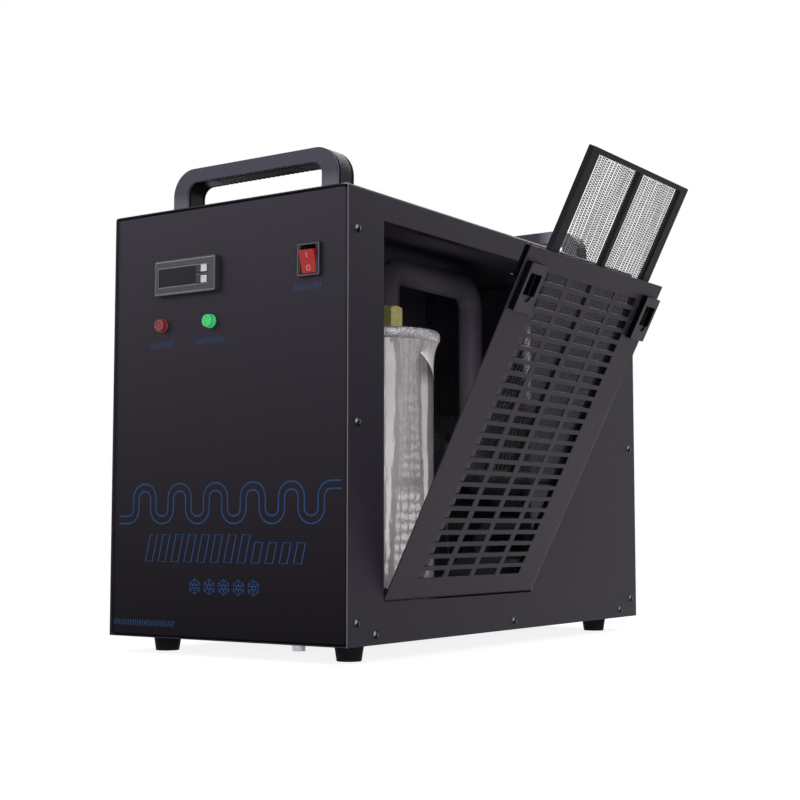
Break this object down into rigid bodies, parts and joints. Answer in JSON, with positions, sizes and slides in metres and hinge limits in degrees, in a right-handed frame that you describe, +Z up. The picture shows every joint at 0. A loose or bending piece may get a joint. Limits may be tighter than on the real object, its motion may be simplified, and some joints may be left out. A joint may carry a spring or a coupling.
{
  "type": "compressor chiller",
  "caption": "Free-standing compressor chiller in a folded steel case with carrying handles, control front and an open slotted side hatch that holds a sliding dust filter.",
  "frame": {"origin": "on the floor under the middle of the whole object at rest, with the hatch open and the filter drawn out", "axes": "+Z up, the control front faces -Y and the hatch opens towards +X"},
  "size_m": [0.4866, 0.6092, 0.482],
  "materials": {
    "sheet": "fine powder coat",
    "panel": "fine powder coat",
    "screw": "black oxide",
    "foot": "matt",
    "handle": "satin",
    "controller": "gloss",
    "window": "gloss",
    "button": "silver",
    "switch": "gloss",
    "rocker": "translucent red",
    "lamp_red": "translucent red",
    "lamp_green": "translucent green",
    "pin": "zinc plated",
    "plastic": "moulded",
    "latch": "moulded",
    "net": "open net",
    "foil": "wrapped",
    "foil_rim": "crumpled tape",
    "brass": "turned",
    "hose": "matt",
    "black_steel": "semi gloss",
    "copper": "drawn copper",
    "fins": "black paint",
    "motor": "painted",
    "gauge": "clear"
  },
  "bodies": {
    "case": {"base_tray": "sheet", "outer_cover": "sheet", "front_panel": "panel", "rear_panel": "panel", "cover_screws": "screw", "foot_front_left": "foot", "foot_front_right": "foot", "foot_rear_left": "foot", "foot_rear_right": "foot", "handle_front": "handle", "handle_rear": "handle", "controller_body": "controller", "controller_window": "window", "switch_body": "switch", "lamp_red": "lamp_red", "lamp_green": "lamp_green", "tank_body": "foil", "tank_rim": "foil_rim", "tank_fitting": "brass", "return_hose": "hose", "filler_hose": "hose", "filler_neck": "plastic", "compressor_shell": "black_steel", "compressor_base": "black_steel", "compressor_grommets": "foot", "terminal_cover": "plastic", "accumulator": "black_steel", "discharge_pipe": "copper", "suction_pipe": "hose", "liquid_pipe": "copper", "filter_drier": "copper", "capillary": "copper", "condenser": "fins", "fan_shroud": "sheet", "fan_motor": "motor", "fan_guard": "pin", "pump": "motor", "pump_inlet_hose": "hose", "supply_hose": "hose", "supply_port": "brass", "return_port": "brass", "power_inlet": "plastic", "level_gauge": "gauge", "drain_plug": "pin"},
    "hatch": {"hatch_panel": "sheet", "hinge_pins": "pin", "filter_rail_front": "plastic", "filter_rail_rear": "plastic", "latch_plate_front": "latch", "latch_plate_rear": "latch"},
    "filter": {"filter_frame": "plastic", "filter_net": "net"},
    "latch_front": {"latch_bolt_front": "plastic"},
    "latch_rear": {"latch_bolt_rear": "plastic"},
    "rocker": {"rocker": "rocker"},
    "button_up": {"button_up": "button"},
    "button_down": {"button_down": "button"},
    "fan": {"fan_rotor": "plastic"},
    "filler_cap": {"filler_cap": "plastic"}
  },
  "joints": [
    {"name": "hatch_tilt", "type": "hinge", "parent": "case", "child": "hatch", "pos_m": [0.04608, -0.1025, 0.0574], "axis": [0, 1, 0], "range_deg": [-26.6, 0]},
    {"name": "filter_slide", "type": "slide", "parent": "hatch", "child": "filter", "axis": [0.4478, 0, 0.8942], "range_m": [-0.104, 0]},
    {"name": "latch_front_slide", "type": "slide", "parent": "hatch", "child": "latch_front", "axis": [0.4478, 0, 0.8942], "range_m": [0, 0.008]},
    {"name": "latch_rear_slide", "type": "slide", "parent": "hatch", "child": "latch_rear", "axis": [0.4478, 0, 0.8942], "range_m": [0, 0.008]},
    {"name": "rocker_tilt", "type": "hinge", "parent": "case", "child": "rocker", "pos_m": [0.00558, -0.2935, 0.3655], "axis": [-1, 0, 0], "range_deg": [0, 30]},
    {"name": "button_up_press", "type": "slide", "parent": "case", "child": "button_up", "axis": [0, 1, 0], "range_m": [0, 0.001], "stiffness_N_per_m": 300},
    {"name": "button_down_press", "type": "slide", "parent": "case", "child": "button_down", "axis": [0, 1, 0], "range_m": [0, 0.001], "stiffness_N_per_m": 300},
    {"name": "fan_spin", "type": "hinge", "parent": "case", "child": "fan", "pos_m": [-0.12092, 0.2595, 0.1852], "axis": [0, 1, 0], "continuous": true},
    {"name": "filler_cap_turn", "type": "hinge", "parent": "case", "child": "filler_cap", "pos_m": [-0.09592, -0.0785, 0.432], "axis": [0, 0, 1], "range_deg": [0, 360]}
  ],
  "couplings": [
    {"joint": "filter_slide", "follows": "hatch_tilt", "m_per_rad": 0.22401}
  ]
}
